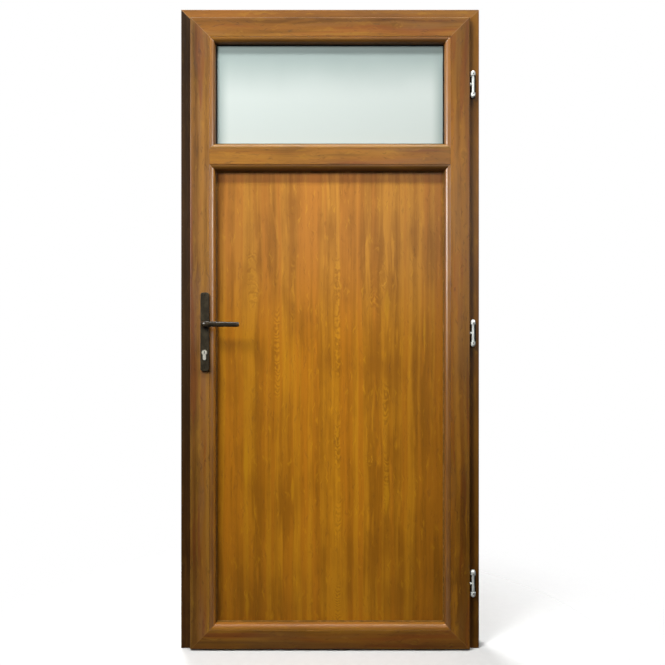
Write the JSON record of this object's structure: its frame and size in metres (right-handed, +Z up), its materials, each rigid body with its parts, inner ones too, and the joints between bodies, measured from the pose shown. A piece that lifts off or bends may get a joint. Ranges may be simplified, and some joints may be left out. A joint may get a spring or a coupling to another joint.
{
  "type": "front door with frame",
  "caption": "Hinged house door with its frame: woodgrain profiles, milky glass light above a transom, plain panel below, lever handle and side hinges.",
  "frame": {"origin": "floor level, middle of the frame's width, middle of the leaf's thickness; this is the bottom centre of the bounding box", "axes": "+X to the right seen from the opening side, towards the hinges; +Y through the door to the other side, so the pictured side faces -Y; +Z up"},
  "size_m": [0.98, 0.186, 2.1],
  "materials": {
    "foil_oak": "satin",
    "panel_oak": "satin",
    "milky_glass": "satin",
    "clear_glass": "gloss",
    "spacer_aluminium": "satin",
    "seal_rubber": "matte",
    "brush_fibre": "matte",
    "black_plastic": "matte",
    "galvanised": "satin",
    "zinc_steel": "satin",
    "dark_metal": "satin",
    "hinge_silver": "satin",
    "nickel": "satin",
    "threshold_aluminium": "satin"
  },
  "bodies": {
    "frame": {"frame_head": "foil_oak", "frame_jamb_lock": "foil_oak", "frame_jamb_hinge": "foil_oak", "frame_steel_head": "galvanised", "frame_steel_lock": "galvanised", "frame_steel_hinge": "galvanised", "frame_seal": "seal_rubber", "threshold": "threshold_aluminium", "threshold_blocks": "black_plastic", "keep_lock": "zinc_steel", "keep_bolts": "zinc_steel", "frame_screws": "zinc_steel", "hinge_plates": "dark_metal", "hinge_knuckles": "hinge_silver", "hinge_pins": "zinc_steel"},
    "leaf": {"leaf_stile_lock": "foil_oak", "leaf_stile_hinge": "foil_oak", "leaf_rail_top": "foil_oak", "leaf_rail_bottom": "foil_oak", "leaf_transom": "foil_oak", "leaf_steel_lock": "galvanised", "leaf_steel_hinge": "galvanised", "leaf_steel_rails": "galvanised", "glass_front_pane": "milky_glass", "glass_back_pane": "clear_glass", "glass_spacer": "spacer_aluminium", "door_panel": "panel_oak", "setting_blocks": "black_plastic", "glass_gaskets": "seal_rubber", "panel_gaskets": "seal_rubber", "leaf_seal": "seal_rubber", "foot_brush": "brush_fibre", "lock_faceplate": "zinc_steel", "lock_case": "zinc_steel", "cylinder_body": "nickel", "handle_plate_front": "dark_metal", "handle_plate_back": "dark_metal", "handle_screws": "dark_metal", "hinge_sleeve_top": "hinge_silver", "hinge_sleeve_middle": "hinge_silver", "hinge_sleeve_bottom": "hinge_silver", "glass_bead_lock": "foil_oak", "glass_bead_top": "foil_oak", "glass_bead_hinge": "foil_oak", "glass_bead_bottom": "foil_oak", "panel_bead_lock": "foil_oak", "panel_bead_top": "foil_oak", "panel_bead_hinge": "foil_oak", "panel_bead_bottom": "foil_oak"},
    "lever": {"lever_front": "dark_metal", "lever_back": "dark_metal", "lever_spindle": "zinc_steel", "lock_hub": "zinc_steel"},
    "latch": {"latch_bolt": "zinc_steel"},
    "cylinder": {"cylinder_plugs": "nickel", "cylinder_cam": "zinc_steel"},
    "deadbolt": {"dead_bolt": "zinc_steel"},
    "upper_bolt": {"bolt_upper": "zinc_steel"},
    "lower_bolt": {"bolt_lower": "zinc_steel"}
  },
  "joints": [
    {"name": "door_swing", "type": "hinge", "parent": "frame", "child": "leaf", "pos_m": [0.468, -0.025, 1.05], "axis": [0, 0, 1], "range_deg": [0, 105]},
    {"name": "lever_turn", "type": "hinge", "parent": "leaf", "child": "lever", "pos_m": [-0.407, 0, 1.065], "axis": [0, 1, 0], "range_deg": [0, 35], "stiffness_Nm_per_rad": 1.5, "springref_deg": -28.65},
    {"name": "latch_slide", "type": "slide", "parent": "leaf", "child": "latch", "axis": [1, 0, 0], "range_m": [0, 0.011]},
    {"name": "cylinder_turn", "type": "hinge", "parent": "leaf", "child": "cylinder", "pos_m": [-0.407, 0, 0.973], "axis": [0, 1, 0], "range_deg": [0, 180]},
    {"name": "deadbolt_throw", "type": "slide", "parent": "leaf", "child": "deadbolt", "axis": [-1, 0, 0], "range_m": [0, 0.02]},
    {"name": "upper_bolt_throw", "type": "slide", "parent": "leaf", "child": "upper_bolt", "axis": [-1, 0, 0], "range_m": [0, 0.02]},
    {"name": "lower_bolt_throw", "type": "slide", "parent": "leaf", "child": "lower_bolt", "axis": [-1, 0, 0], "range_m": [0, 0.02]}
  ],
  "couplings": [
    {"joint": "latch_slide", "follows": "lever_turn", "m_per_rad": 0.018},
    {"joint": "cylinder_turn", "follows": "deadbolt_throw", "rad_per_m": 157.08},
    {"joint": "upper_bolt_throw", "follows": "deadbolt_throw", "ratio": 1},
    {"joint": "lower_bolt_throw", "follows": "deadbolt_throw", "ratio": 1}
  ]
}
